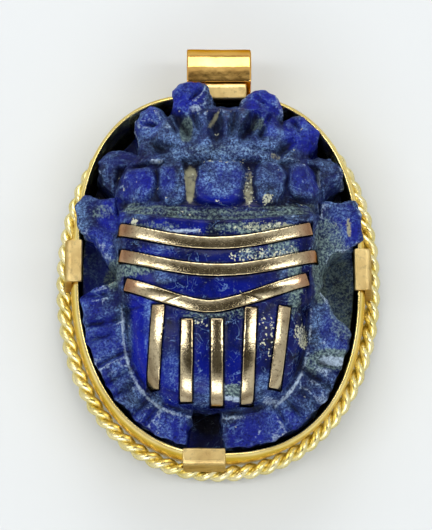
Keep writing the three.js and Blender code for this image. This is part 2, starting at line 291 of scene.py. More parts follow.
def onWall(count, out, up):
    # a place on the wall, which runs straight from the foot oval to the rim oval
    share = np.clip((up - wallFoot) / (rimTop - wallFoot), 0, 1)
    ends = []
    for oval in (footOval, rimOval):
        place, outward = evenPoints(oval, count)
        ends.append(place + outward * out)
    flat = ends[0] * (1 - share) + ends[1] * share
    return atHeight(flat, up)


def wallRing(name, profile, steps):
    return loft(name, np.stack([onWall(steps, out, up) for out, up in profile], 1), closed=True)


def newMaterial(name):
    material = bpy.data.materials.new(name)
    material.use_nodes = True
    material.node_tree.nodes.clear()
    return material, material.node_tree


def scaleFor(size):
    # a texture's scale for a pattern of this many millimetres
    return 1 / (size * millimetre)


lapisLook = {
    "navy": "#060a25", "ultramarine": "#0c165c", "bright": "#0b1890", "dusty": "#7296cb",
    "calcite": "#7d948f", "darkCalcite": "#2b3b48", "silt": "#a3a184", "chalk": "#a9bcd2",
    # the near-black colour after pyrite is painted shade, laid in hollows, cuts, creases and on the strips'
    # seats
    "pyrite": "#bcbfa8", "paintedShade": "#070a20", "speckSize": 0.16, "reliefDepth": 0.09,
    # size in millimetres, detail, roughness and distortion of each noise; the grain is drawn coarser
    # than crushed stone really is, so that it shows
    "clouds": (1.7, 5, 0.62, 0.6), "grains": (0.14, 3, 0.7, 0), "crackle": (0.24, 2, 0.6, 1.2),
    "patches": (0.9, 3, 0.5, 0), "veins": (1.1, 3, 0.6, 1), "ragged": (0.25, 2, 0.5, 0),
}
# what is written at each vertex of the stone for its material to read; the hollow amount marks where shade
# is painted
stoneAmounts = ("rough", "vivid", "dusty", "calcite", "silt", "chalk", "pyrite", "hollow")


def carvedLapis():
    # lapis lazuli cut with hand tools: deep blue where polished, crazed and dusty where the cuts are rough
    look = lapisLook
    material, tree = newMaterial("carvedLapis")
    place = addNode(tree, "TexCoord", out="Object")
    rough, vivid, dusty, calcite, silt, chalk, pyrite, hollow = [
        addNode(tree, "Attribute", attribute_name=name, out="Fac") for name in stoneAmounts]
    noises = []
    for name in ("clouds", "grains", "crackle", "patches", "veins", "ragged"):
        size, detail, roughness, distortion = look[name]
        noises.append(addNode(tree, "TexNoise", Vector=place, Scale=scaleFor(size), Detail=detail,
                              Roughness=roughness, Distortion=distortion))
    cloud, grain, crackle, patch, vein, ragged = noises

    # the blue itself comes in clouds, brightest where it was cut cleanest
    clean = addNode(tree, "Math", vivid, addNode(tree, "MapRange", cloud, 0.3, 0.5, 0.35, 1),
                    operation="MULTIPLY")
    # scratches and hairlines run where a noise crosses its middle value
    lines = []
    for noise, span in ((crackle, (0.035, 0.008)), (vein, (0.014, 0.003))):
        offMiddle = addNode(tree, "Math", noise, 0.5, operation="SUBTRACT")
        away = addNode(tree, "Math", offMiddle, operation="ABSOLUTE")
        lines.append(addNode(tree, "MapRange", away, *span))
    scratch, hairline = lines
    # crushed grains and short pale scratches show as dust where the stone is dusty, over a thin film of it
    light = addNode(tree, "Math", addNode(tree, "Math", scratch, 0.75, operation="MULTIPLY"),
                    addNode(tree, "MapRange", grain, 0.51, 0.61), operation="MAXIMUM")
    reach = addNode(tree, "Math", dusty, addNode(tree, "MapRange", patch, 0.38, 0.56, 0.3, 1.15),
                    operation="MULTIPLY")
    film, dust = [addNode(tree, "Math", share, reach, operation="MULTIPLY") for share in (0.12, light)]
    # hairlines wander through it where the polish has broken
    hairline = addNode(tree, "Math", hairline, addNode(tree, "MapRange", patch, 0.46, 0.6, 0, 0.55),
                       operation="MULTIPLY")
    # dark pits among the pale grains
    pits = addNode(tree, "Math", addNode(tree, "MapRange", grain, 0.45, 0.34),
                   addNode(tree, "Math", rough, 0.75, operation="MULTIPLY"), operation="MULTIPLY")
    # grey-green calcite, silt packed in the deepest cuts and chalky crust, all broken up by the grain
    stony = addNode(tree, "Mix", addNode(tree, "MapRange", grain, 0.42, 0.6), data_type="RGBA", out=2,
                    links={6: linearColour(look["darkCalcite"]), 7: linearColour(look["calcite"])})
    loose = addNode(tree, "Math", grain, 1.6, -0.8, operation="MULTIPLY_ADD")
    broken = [addNode(tree, "MapRange", addNode(tree, "Math", amount, loose, operation="ADD"), *span)
              for amount, span in ((calcite, (0.2, 0.75, 0, 0.9)), (silt, (0.25, 0.7, 0, 0.95)),
                                   (chalk, (0.3, 0.85)), (pyrite, (0.88, 1)))]
    # painted shade: near-black laid over the stone wherever the hollow amount is high
    paintedShade = addNode(tree, "Math", hollow, 0.8, operation="MULTIPLY")
    # pyrite flecks, ragged and 0.1 to 0.3 mm across
    bent = addNode(tree, "VectorMath", ragged.node.outputs["Color"], (0.0004,) * 3, place,
                   operation="MULTIPLY_ADD")
    cells = addNode(tree, "TexVoronoi", Vector=bent, Scale=scaleFor(look["speckSize"])).node
    chosen = addNode(tree, "SeparateColor", Color=cells.outputs["Color"])
    fleck = addNode(tree, "Math", addNode(tree, "MapRange", cells.outputs["Distance"], 0.46, 0.34),
                    addNode(tree, "Math", pyrite, chosen, operation="GREATER_THAN"), operation="MULTIPLY")
    fleck = addNode(tree, "Math", fleck, broken[3], operation="MAXIMUM")

    # each layer lies over the ones before it: how much of it shows, and its colour
    colour = linearColour(look["navy"])
    for amount, tint in (
            (addNode(tree, "MapRange", cloud, 0.36, 0.62), look["ultramarine"]), (clean, look["bright"]),
            (film, look["dusty"]), (dust, look["dusty"]), (hairline, look["dusty"]), (pits, look["navy"]),
            (broken[0], stony), (broken[1], look["silt"]), (broken[2], look["chalk"]),
            (paintedShade, look["paintedShade"]), (fleck, look["pyrite"])):
        over = linearColour(tint) if isinstance(tint, str) else tint
        colour = addNode(tree, "Mix", amount, links={6: colour, 7: over}, data_type="RGBA", out=2)

    gloss = addNode(tree, "MapRange", rough, 0, 1, 0.16, 0.5)
    sunk = addNode(tree, "Math", scratch, -0.3, operation="MULTIPLY")
    relief = addNode(tree, "Math", grain, 0.8, sunk, operation="MULTIPLY_ADD")
    bump = addNode(tree, "Bump", Height=relief, Distance=look["reliefDepth"] * millimetre,
                   Strength=addNode(tree, "MapRange", rough, 0, 1, 0.12, 0.85))
    # an old dry polish and dust return little of the stone's own shine
    surface = addNode(
        tree, "BsdfPrincipled", Base_Color=colour, Normal=bump, IOR=1.5,
        Roughness=addNode(tree, "Math", light, 0.15, gloss, operation="MULTIPLY_ADD"),
        Specular_IOR_Level=addNode(tree, "MapRange", rough, 0, 1, 0.09, 0.16))
    addNode(tree, "OutputMaterial", surface)
    return material


# The golds, with the sizes of their scratches' grain, patches of handling and pits in millimetres. The
# scratches are drawn coarser than real polishing marks, so that they show.
golds = {
    # 18 carat yellow gold, drawn and polished: bright and warm, with soft reflections
    "polishedYellowGold": {"tint": "#f8e39a", "darkTint": "#e6cb78", "roughness": 0.18, "grain": 0.25,
                           "patch": 2.5, "scratch": 0.01},
    # wire of the same gold, rubbed duller
    "rubbedRopeGold": {"tint": "#f5eab6", "darkTint": "#e6d890", "roughness": 0.28, "grain": 0.2,
                       "patch": 1.5, "scratch": 0.01},
    # redder gold of the bail, handled until it shines
    "handledRedGold": {"tint": "#e6ba6c", "darkTint": "#d2a258", "roughness": 0.14, "grain": 0.25,
                       "patch": 2.0, "scratch": 0.006},
    # gold filed and left matt on the claws, pitted and a little tarnished
    "filedClawGold": {"tint": "#d9c083", "darkTint": "#bda066", "roughness": 0.38, "grain": 0.12,
                      "patch": 1.2, "scratch": 0.02, "pit": 0.35, "tarnish": 0.3},
    # low carat rose gold strip, worn: greyish brown on its flats, bright where it bends, red at its ends
    "wornRoseGold": {"tint": "#c6b896", "darkTint": "#918265", "roughness": 0.15, "grain": 0.13,
                     "patch": 1.4, "scratch": 0.01, "pit": 0.16, "tarnish": 0.45, "endTint": "#a5694a"},
}
tarnishColour = "#4a3420"


def goldMaterial(name):
    # shared make-up of the golds: an alloy colour, darker where handling never reaches, fine scratches
    look = {"pit": 0.3, "tarnish": 0.0, "endTint": None, **golds[name]}
    material, tree = newMaterial(name)
    place = addNode(tree, "TexCoord", out="Object")
    patch = addNode(tree, "TexNoise", Vector=place, Scale=scaleFor(look["patch"]), Detail=4)
    fine = addNode(tree, "TexNoise", Vector=place, Scale=scaleFor(look["grain"]), Detail=3, Roughness=0.7)
    pits = addNode(tree, "TexNoise", Vector=place, Scale=scaleFor(look["pit"]), Detail=3, Roughness=0.65)
    # untouched patches are darker, pits hold tarnish, and copper in the alloy shows at a strip's ends
    layers = [(addNode(tree, "MapRange", patch, 0.42, 0.68), look["darkTint"]),
              (addNode(tree, "MapRange", pits, 0.54, 0.66, 0, look["tarnish"]), tarnishColour)]
    if look["endTint"]:
        layers.append((addNode(tree, "Attribute", attribute_name="ends", out="Fac"), look["endTint"]))
    colour = linearColour(look["tint"])
    for amount, tint in layers:
        colour = addNode(tree, "Mix", amount, links={6: colour, 7: linearColour(tint)}, data_type="RGBA",
                         out=2)
    bump = addNode(tree, "Bump", Height=fine, Distance=look["scratch"] * millimetre, Strength=0.6)
    dull = look["roughness"]
    # the tint keeps gold the colour of gold where the eye skims along it
    surface = addNode(
        tree, "BsdfPrincipled", Base_Color=colour, Metallic=1.0, Normal=bump,
        Specular_Tint=linearColour(look["darkTint"]),
        Roughness=addNode(tree, "MapRange", fine, 0.3, 0.7, dull * 0.8, dull * 1.35))
    addNode(tree, "OutputMaterial", surface)
    return material


lapis = carvedLapis()
metals = {name: goldMaterial(name) for name in golds}
print("materials made")


stone = {"bottom": 1.05, "plateTop": 3.0, "shoulder": 5.4, "grain": 0.075, "triangles": 190000,
         "clearOfWall": -0.62}
blockFoot = stone["plateTop"] - 0.5  # legs, teeth and domes start inside the plate
plateOval = {"halfWidth": 8.2, "halfLength": 10.4, "fullness": (2.15,) * 4}
wingCases = {"x": -0.1, "y": -2.2, "halfWidth": 5.1, "halfLength": 6.05,
             "rise": 3.2, "plan": 2.7, "profile": 2.9}
thorax = {"x": -0.05, "y": 0.6, "halfWidth": 5.85, "halfLength": 3.6,
          "rise": 3.4, "plan": 5, "profile": 4}
headDome = {"x": 0, "y": 4.0, "halfWidth": 5.95, "halfLength": 3.25,
            "rise": 2.95, "plan": 3.0, "profile": 2.5}
clypeus = {"x": 0.1, "y": 5.2, "halfWidth": 5.0, "halfLength": 4.6,
           "rise": 2.62, "plan": 2.3, "profile": 2.3}

rays = [  # root and tip in plan, width at each, height of the top at each
    ((-1.2, 7.4), (-1.6, 11.15), (3.0, 2.0), (7.0, 6.6)), ((1.7, 7.2), (3.0, 10.6), (3.4, 2.0), (6.9, 6.5)),
    ((-2.7, 6.2), (-4.4, 9.8), (3.2, 1.6), (6.5, 5.5)), ((2.7, 6.0), (5.45, 8.85), (3.5, 2.0), (6.7, 6.0)),
    ((-4.2, 4.9), (-7.15, 6.75), (3.8, 1.5), (6.6, 5.5)),
    ((4.2, 5.0), (7.35, 6.15), (3.6, 1.4), (6.6, 5.6)),
]
leftMidLeg = [(-4.6, 4.0), (-6.9, 4.1), (-7.85, 4.5), (-8.2, 3.85), (-8.3, 2.7), (-8.05, 2.2), (-7.2, 1.9),
              (-6.6, 0.9), (-5.8, -0.1), (-4.6, -0.4)]
rightMidLeg = [(4.6, 3.6), (6.1, 3.85), (8.0, 4.15), (8.32, 3.3), (8.42, 1.8), (7.65, 1.2), (6.5, 0.8),
               (6.05, -0.1), (5.9, -1.2), (4.6, -1.2)]
midLegs = {"across": (4.6, 8.4), "tops": (6.4, 5.7), "draft": 0.25}
hindOval = {"halfWidth": 8.3, "halfLength": 10.6, "fullness": (2.4, 2.15, 2.15, 2.4)}
hindLegs = {"width": 3.3, "innerTop": 6.6, "outerTop": 5.65, "clearLeft": 0.22, "clearRight": 0.34}
leftHindZone = [(-1.95, -12), (-1.75, -9.4), (-1.5, -8.2), (-0.8, -7.4), (-3.5, 0), (-5.55, -0.65),
                (-6.85, -0.9), (-7.9, -1.6), (-8.5, -2.5), (-9.5, -5), (-9.5, -12)]
rightHindZone = [(0.55, -12), (0.35, -9.8), (0.1, -8.2), (-0.2, -7.4), (3.5, -1.2), (5.9, -1.4),
                 (6.75, -2.7), (7.6, -3.5), (7.95, -4.4), (8.8, -6), (9.5, -12)]


# middle, half width, half length and fullness in plan of the wing cases' edge, and of the crease outside it
wingEdge = [wingCases[key] for key in ("x", "y", "halfWidth", "halfLength", "plan")]
wingCrease = (-0.1, -2.2, 5.12, 6.1, 2.7)


def pillowHeight(form, x, y):
    # top of a boxy dome, or its shoulder level outside it
    across = np.abs((x - form["x"]) / form["halfWidth"]) ** form["plan"]
    along = np.abs((y - form["y"]) / form["halfLength"]) ** form["plan"]
    out = (across + along) ** (form["profile"] / form["plan"])
    return stone["shoulder"] + form["rise"] * np.clip(1 - out, 0, 1) ** (1 / form["profile"])


def backHeight(x, y):
    return np.maximum(pillowHeight(wingCases, x, y), pillowHeight(thorax, x, y))


def pillow(form):
    turns = np.linspace(0, 2 * math.pi, 128, endpoint=False)
    across = signedPower(np.cos(turns), 2 / form["plan"])
    along = signedPower(np.sin(turns), 2 / form["plan"])
    levels = [(1.0, blockFoot), (1.0, stone["shoulder"])]
    for climb in np.linspace(0, math.pi / 2 - 0.02, 40)[1:]:
        levels.append((math.cos(climb) ** (2 / form["profile"]),
                       stone["shoulder"] + form["rise"] * math.sin(climb) ** (2 / form["profile"])))
    rings = [np.column_stack([form["x"] + form["halfWidth"] * out * across,
                              form["y"] + form["halfLength"] * out * along,
                              np.full(len(turns), up)]) for out, up in levels]
    return loft("dome", rings)


def prism(outline, bottom, topAt, draft=0.0):
    # a block on a plan outline; the draft is how far its foot stands out from its top
    flat = np.asarray(outline, float)
    middle = flat.mean(0)
    outward = flat - middle
    outward /= np.linalg.norm(outward, axis=1, keepdims=True)
    foot = atHeight(flat + outward * draft, bottom)
    top = np.column_stack([flat, [topAt(x, y) for x, y in flat]])
    return loft("prism", [foot, top])


def ray(root, tip, widths, tops):
    # a blunt tooth: flat-cut top with a low ridge, sides that lean out, corners knocked off the tip
    root, tip = np.array(root), np.array(tip)
    ahead = (tip - root) / np.linalg.norm(tip - root)
    side = np.array([-ahead[1], ahead[0]])
    length = np.linalg.norm(tip - root)
    sections = []
    # how far along, the share of the width left there, and how far the top drops
    for far, share, drop in ((0, 1, 0), (0.3, 1, 0), (0.6, 1, 0.05), (0.86, 1, 0.1), (0.96, 0.82, 0.25),
                             (1.0, 0.6, 0.55)):
        half = share * (widths[1] * far + widths[0] * (1 - far)) / 2
        top = tops[0] + (tops[1] - tops[0]) * far - drop
        centre = root + ahead * length * far
        sections.append([(*(centre + side * half * out), up) for out, up in (
            (-1.15, blockFoot), (-1.0, top - 0.5), (-0.55, top - 0.08), (0.2, top + 0.05),
            (0.75, top - 0.15), (1.0, top - 0.6), (1.15, blockFoot))])
    return loft("ray", sections)


def hindRing():
    place, outward = evenPoints(hindOval, 360)
    clear = np.interp(place[:, 0], (-3, 6), (hindLegs["clearLeft"], hindLegs["clearRight"]))
    place = place - outward * clear[:, None]
    rings = []
    inner = -hindLegs["width"]
    for out, up in ((0.12, blockFoot), (0.0, hindLegs["outerTop"]), (inner, hindLegs["innerTop"]),
                    (inner, blockFoot)):
        rings.append(atHeight(place + outward * out, up))
    return loft("hindRing", np.stack(rings, 1), closed=True)


def stoneBlank():
    # the blocked-out beetle: plate, domes, teeth and legs, clear of the setting's wall
    turns = np.linspace(0, 2 * math.pi, 240, endpoint=False)
    edge, outward = ovalPoint(plateOval, turns)
    bottom = stone["bottom"]
    plate = loft("plate", [atHeight(edge - outward * 0.15, bottom), atHeight(edge, bottom + 0.15),
                           atHeight(edge, stone["plateTop"])])
    domes = [pillow(form) for form in (wingCases, thorax, headDome, clypeus)]

    def legTop(x, y):
        return float(np.interp(abs(x), midLegs["across"], midLegs["tops"]))
    legs = [prism(outline, blockFoot, legTop, midLegs["draft"]) for outline in (leftMidLeg, rightMidLeg)]
    for zone in (leftHindZone, rightHindZone):
        block = prism(zone, 0, lambda x, y: 12)
        legs.append(cutWith(hindRing(), block, "INTERSECT"))
        throwAway(block)
    teeth = [ray(*form) for form in rays]
    inside = stone["clearOfWall"]
    over = rimTop + 0.05
    room = wallRing("wallRoom", [(inside, 0), (3, 0), (3, over), (inside, over), (inside, rimTop),
                                 (inside, wallFoot)], 240)
    for part in legs + teeth + [plate]:
        cutWith(part, room)
    throwAway(room)
    return joined("scarabStone", [plate, *domes, *legs, *teeth])


# The head's five lobes in plan: middle, half width, half length, fullness. The cuts between are this deep.
headLobes = {
    "depth": 0.5,
    "ovals": [(-4.75, 4.75, 1.15, 1.15, 2.4), (-2.62, 4.75, 0.86, 1.34, 2.6), (0.1, 4.7, 1.42, 1.4, 4.0),
              (2.98, 4.75, 0.9, 1.34, 2.6), (4.95, 4.95, 0.95, 1.15, 2.4)],
}
# Scoops cut with a gouge round the shovel of the head: from, to, width and depth of each.
headScoops = [
    ((-2.6, 9.4), (-1.25, 7.0), 1.0, 1.15), ((-0.3, 9.5), (-0.05, 7.0), 1.05, 1.2),
    ((2.3, 9.3), (1.35, 7.0), 1.0, 1.15), ((-1.65, 9.5), (-1.0, 7.5), 0.55, 0.7),
    ((1.0, 9.5), (0.7, 7.3), 0.7, 0.8), ((3.1, 9.1), (2.4, 7.3), 0.6, 0.8),
    ((-4.3, 7.8), (-2.8, 6.3), 0.75, 0.7), ((4.4, 7.7), (3.2, 6.2), 0.75, 0.7),
    ((-3.0, 9.2), (-2.2, 7.3), 0.5, 0.6), ((-3.9, 7.0), (-2.0, 6.9), 0.35, 0.35),
    ((-0.9, 10.7), (-2.1, 9.7), 0.45, 0.45), ((2.0, 10.4), (3.3, 9.3), 0.5, 0.45),
    ((-4.6, 8.9), (-3.4, 8.6), 0.4, 0.4), ((4.2, 9.1), (5.0, 7.8), 0.4, 0.35),
    ((1.9, 6.9), (3.9, 6.6), 0.35, 0.3),
]
# Knobs left standing between the scoops: middle, half width, half length, height.
headKnobs = [
    (-3.2, 8.1, 0.75, 0.65, 0.45), (3.1, 8.35, 0.5, 0.65, 0.45), (-1.9, 10.3, 0.9, 0.7, 0.2),
    (2.6, 9.8, 0.8, 0.6, 0.2), (2.9, 7.2, 0.9, 0.5, 0.2), (0.4, 8.4, 0.35, 0.8, 0.15),
]
# Tool scars by size, the depth of the larger ones, the polish's slow wave, and the crease by the wing cases.
carving = {"scarSize": 1.15, "smallScarSize": 0.45, "scarDepth": 0.36, "waveSize": 1.5, "waveDepth": 0.012,
           "creaseDepth": 0.2, "wander": 0.16}
neck = {"middle": 2.75, "rise": 0.75, "halfSpan": 6.2, "softness": 6, "width": 0.95, "depth": 0.42}
ribs = {"left": (188, 240, 8), "right": (296, 330, 5), "width": 0.66, "depth": 0.34, "inner": 1.9}

crossStrips = {
    "inlay_cross_upper": {"from": -5.73, "to": 5.35, "middle": 1.0, "rise": 1.0,
                          "softness": 6, "lowest": -0.19},
    "inlay_cross_middle": {"from": -5.65, "to": 5.68, "middle": -0.55, "rise": 1.02,
                          "softness": 6, "lowest": 0.0},
    "inlay_cross_lower": {"from": -5.3, "to": 5.1, "middle": -2.6, "rise": 1.5,
                          "softness": 1.2, "lowest": -0.5},
}
wingStrips = {
    "inlay_wing_1": ((-3.38, -2.45), (-3.72, -7.1)),
    "inlay_wing_2": ((-1.75, -3.3), (-1.82, -7.85)),
    "inlay_wing_3": ((-0.07, -3.3), (-0.07, -8.08)),
    "inlay_wing_4": ((1.85, -2.65), (1.62, -8.0)),
    "inlay_wing_5": ((3.77, -2.5), (3.2, -7.1)),
}
strip = {"width": 0.7, "depth": 0.42, "proud": 0.05, "gap": 0.06, "seatDepth": 0.22, "crown": 0.02,
         "redEnds": 0.62, "grain": 0.045}


def strapLine(form, x):
    # middle line of a cross strip: a soft V that a large softness makes an arc
    half = (form["to"] - form["from"]) / 2
    away = np.abs(x - form["lowest"])
    soft = form["softness"]
    return form["middle"] + form["rise"] * (np.hypot(away, soft) - soft) / (math.hypot(half, soft) - soft)


def awayFromSegment(x, y, start, end):
    # distance in plan from a straight line between two points
    ax, ay = start
    bx, by = end[0] - ax, end[1] - ay
    t = np.clip(((x - ax) * bx + (y - ay) * by) / (bx * bx + by * by), 0, 1)
    return np.hypot(x - ax - t * bx, y - ay - t * by)


def inStrip(x, y, margin):
    # how far inside any strip's outline, in millimetres, negative outside
    inside = np.full(len(x), -9.0)
    half = strip["width"] / 2 + margin
    for form in crossStrips.values():
        slope = (strapLine(form, x + 0.01) - strapLine(form, x - 0.01)) / 0.02
        off = np.abs(y - strapLine(form, x)) / np.sqrt(1 + slope ** 2)
        ends = np.minimum(x - form["from"], form["to"] - x) + margin
        inside = np.maximum(inside, np.minimum(half - off, ends))
    for start, end in wingStrips.values():
        t = (y - start[1]) / (end[1] - start[1])
        off = np.abs(x - start[0] - t * (end[0] - start[0]))
        ends = np.minimum(start[1] - y, y - end[1]) + margin
        inside = np.maximum(inside, np.minimum(half - off, ends))
    return inside


def ribLines():
    lines = []
    for low, high, count in (ribs["left"], ribs["right"]):
        for number, bearing in enumerate(np.radians(np.linspace(low, high, count))):
            uneven = math.sin(number * 2.4 + low)
            place, outward = ovalPoint(hindOval, np.array([bearing + 0.02 * uneven]))
            outer = place[0] + outward[0] * 0.2
            inner = place[0] - outward[0] * (ribs["inner"] + 0.5 * uneven)
            lines.append((tuple(outer), tuple(inner)))
    return lines


def ovalReach(x, y, middleX, middleY, halfWidth, halfLength, fullness):
    # 0 at the middle of an oval in plan, 1 on its edge
    across = np.abs((x - middleX) / halfWidth) ** fullness
    return (across + np.abs((y - middleY) / halfLength) ** fullness) ** (1 / fullness)


def scoopShare(x, y, start, end, width):
    # a leaf-shaped hollow: 1 along its middle, 0 at its rim
    run = np.array(end) - np.array(start)
    half = np.linalg.norm(run) / 2
    ahead = run / (2 * half)
    dx, dy = x - (start[0] + end[0]) / 2, y - (start[1] + end[1]) / 2
    out = np.hypot((dx * ahead[0] + dy * ahead[1]) / half, (dy * ahead[0] - dx * ahead[1]) / (width / 2))
    return np.clip(1.1 - out, 0, 1) ** 0.85


def handCut(x, y):
    # the plan bent a little, so no cut runs straight
    flat = np.column_stack([x, y, np.zeros(len(x))])
    wander = carving["wander"]
    return x + wander * softNoise(flat, 0.9, 71, 2), y + wander * softNoise(flat, 0.9, 72, 2)


def grooveDepth(x, y):
    x, y = handCut(x, y)
    lobe = np.zeros(len(x))
    for oval in headLobes["ovals"]:
        lobe = np.maximum(lobe, smoothStep(1.1, 0.82, ovalReach(x, y, *oval)))
    inHead = smoothStep(3.0, 3.3, y) * smoothStep(6.25, 5.9, y) * smoothStep(6.1, 5.8, np.abs(x))
    depth = headLobes["depth"] * (1 - lobe) * inHead
    for start, end, width, deep in headScoops:
        depth = np.maximum(depth, deep * scoopShare(x, y, start, end, width))
    for middleX, middleY, halfWidth, halfLength, height in headKnobs:
        out = np.hypot((x - middleX) / halfWidth, (y - middleY) / halfLength)
        depth = depth - height * smoothStep(1.1, 0.3, out)
    return depth


def wingSeam(x, y):
    # 1 along the crease between the wing cases and the hind legs, and how far out each place is from it
    out = ovalReach(x, y, *wingCrease)
    return smoothStep(0.035, 0.0, np.abs(out - 1.015)) * smoothStep(-0.6, -1.6, y), out


def neckShare(x, y):
    # 1 along the middle of the groove behind the head, fading at its two ends
    span = neck["halfSpan"]
    away = np.abs(y - strapLine({"from": -span, "to": span, "lowest": 0, **neck}, x))
    ends = smoothStep(span - 0.3, span - 1, np.abs(x))
    return smoothStep(neck["width"] / 2, neck["width"] * 0.3, away) * ends


def ribShare(x, y):
    x, y = handCut(x, y)
    share = np.zeros(len(x))
    for start, end in ribLines():
        share = np.maximum(share, smoothStep(ribs["width"] / 2, 0, awayFromSegment(x, y, start, end)))
    return share


def polishedShare(x, y):
    # 1 on the polished wing cases and thorax, 0 on the rough head, legs and teeth
    wave = 0.2 * softNoise(np.column_stack([x, y, np.zeros(len(x))]), 1.2, 5)
    wings = smoothStep(1.02, 0.98, ovalReach(x, y, *wingEdge))
    chest = smoothStep(5.6, 5.2, np.abs(x) + wave) * smoothStep(2.6, 2.3, y) * smoothStep(-3.2, -2.8, y)
    return np.maximum(wings, chest)


# Ovals of colour in plan: middle, half width, half length and strength.
vividOvals = [
    (7.4, 2.6, 0.9, 1.3, 0.7), (-6.8, -5.5, 1.6, 3, 0.7), (-4, -9.2, 2.2, 1, 0.75),
    (3.6, -9.3, 2.4, 1, 0.75), (6.9, -3.9, 1, 1.4, 0.6), (0.1, 4.7, 1.3, 1.3, 0.6),
    (-4.1, 9, 0.9, 1.1, 0.8), (-7.1, 0.4, 1, 1.9, 1), (-1.9, 10.2, 1.1, 1, 1), (2.8, 9.9, 1.1, 1, 1),
    (3.1, 8.3, 0.5, 0.7, 1), (-4.7, 4.6, 1, 1.1, 0.8), (-6.2, 3.2, 0.8, 1, 1), (4.9, 8.1, 1.2, 1, 1),
    (-4.3, -4, 0.7, 3, 1), (-0.9, -6.2, 0.5, 1.4, 0.4), (0.9, -6.2, 0.5, 1, 0.4),
    (-2.7, -6.8, 0.6, 1.4, 0.6), (-3.8, 0.4, 1.2, 0.35, 0.6), (1, -1.7, 1.2, 0.5, 0.4),
    (-0.7, -1.6, 2.2, 0.5, 0.3), (-2.3, 2, 1.6, 0.4, 0.6), (5.1, 5, 0.8, 0.9, 0.6),
    (-2.5, -9.6, 1.2, 0.8, 0.6), (1.8, -9.7, 1.2, 0.9, 0.6), (7.2, -4.2, 0.8, 1.6, 0.6),
    (-7.3, -1.8, 0.8, 0.8, 0.7), (-2.9, 4.9, 0.5, 0.7, 0.6),
]
# the first dusty oval, on the plate in the gap right of the beetle, is grey-blue dust made far stronger than
# dust alone: partly painted light that lightens the plate where it lies in shade
dustyOvals = [
    (7.1, -0.6, 0.9, 2.6, 2.4), (-7, 0.6, 0.9, 1.4, 0.6), (-8, -3, 0.6, 1.6, 0.7), (-3, -9.3, 0.4, 1, 0.5),
    (2.9, -9.4, 0.3, 0.9, 0.9), (-2.3, 7, 1.6, 0.75, 1.3), (0.3, 6.8, 2.6, 0.6, 1.2),
    (3, 7.3, 0.95, 1, 1.3), (0.1, 4.9, 1, 1, 1.5), (0, 6.15, 3.6, 0.25, 1.5), (-2.5, 3.9, 0.6, 0.6, 0.8),
    (2.9, 4.4, 0.6, 0.9, 0.6), (-4, 9, 0.9, 1.1, 1.4), (-4.4, 3.8, 1, 0.5, 0.5),
    (-1.4, 7.9, 0.5, 0.7, 0.8), (0.9, 8, 0.5, 0.9, 0.6), (-8.1, 2.9, 0.45, 1.2, 0.9),
    (-7.2, -4.4, 1.4, 1.1, 0.45), (-5.6, -4.6, 0.6, 2.4, 0.75), (6.2, -3.3, 0.9, 1.6, 0.85),
    (-4.6, -7.6, 1.4, 0.5, 0.55), (4.2, -8.7, 2.2, 1.2, 0.5), (-4, -3.4, 0.22, 1.6, 0.7),
    (-2.7, -6, 0.4, 1, 0.35), (-2.9, 1, 0.9, 0.25, 0.5), (-3.1, -0.9, 0.7, 0.35, 0.6),
    (-5.9, 1, 0.5, 1.8, 0.5), (2.7, -7.2, 0.6, 0.8, 0.6), (-1, -7.3, 0.6, 0.7, 0.6),
    (7, 3.4, 0.8, 0.4, 0.5), (4.9, 8.3, 0.5, 0.4, 0.6), (6.6, 6.2, 0.7, 0.4, 0.6),
    (-1.6, 10.6, 0.5, 0.4, 0.5), (3.9, 0.2, 0.5, 2, 0.6),
]
calciteOvals = [
    (0.85, -7.35, 0.5, 0.4, 0.9), (2.9, 0.4, 1.9, 0.32, 0.6), (0.6, 6.6, 3.6, 0.3, 0.25),
    (6.4, 1.3, 0.9, 1.7, 0.62), (6.7, -5.2, 1.3, 0.6, 1), (-6.1, -0.3, 0.65, 0.8, 0.85),
    (5.9, -0.6, 0.5, 1.5, 0.9), (-1.85, 8.05, 0.36, 0.8, 1.3), (2.4, 1.85, 2.6, 0.32, 0.75),
    (3.6, 0.8, 0.8, 0.5, 0.7), (4.3, -1, 0.4, 2, 0.8), (-4.6, -0.4, 1, 0.4, 0.8),
    (0.1, -3, 2.2, 0.35, 0.4), (-6.8, 3.4, 0.6, 0.4, 0.5), (7.2, -1.4, 0.9, 2.6, 0.62),
    (2.3, 8.5, 0.4, 0.4, 0.7), (5.6, -5.5, 0.6, 0.6, 0.6), (-3.9, 1.9, 1.6, 0.28, 0.5),
]
siltLine = {"from": (-0.66, 8), "to": (0.16, 9.5), "width": 0.3}
siltOvals = [
    (-1.58, 4.62, 0.3, 1.15, 1), (1.76, 4.3, 0.22, 1.1, 0.75), (3.3, 6.4, 0.3, 0.2, 0.5),
    (2.9, 1.95, 1.8, 0.28, 0.5), (7.6, 2.5, 0.14, 0.55, 0.8),
]
chalkOvals = [
    (6.7, -5.35, 0.9, 0.3, 0.75), (2.7, 0.4, 1.8, 0.25, 0.4), (0.85, -7.75, 0.6, 0.12, 0.8),
    (0.38, -7.3, 0.1, 0.45, 0.7), (1.3, -7.2, 0.1, 0.5, 0.7), (-3.5, 6.1, 0.4, 0.14, 0.6),
    (-1.4, 9.4, 0.35, 0.2, 0.6), (3, -7.7, 0.5, 0.22, 0.5), (-2, 1.72, 1, 0.12, 0.8),
    (5.9, 5.4, 0.1, 0.6, 0.6),
]
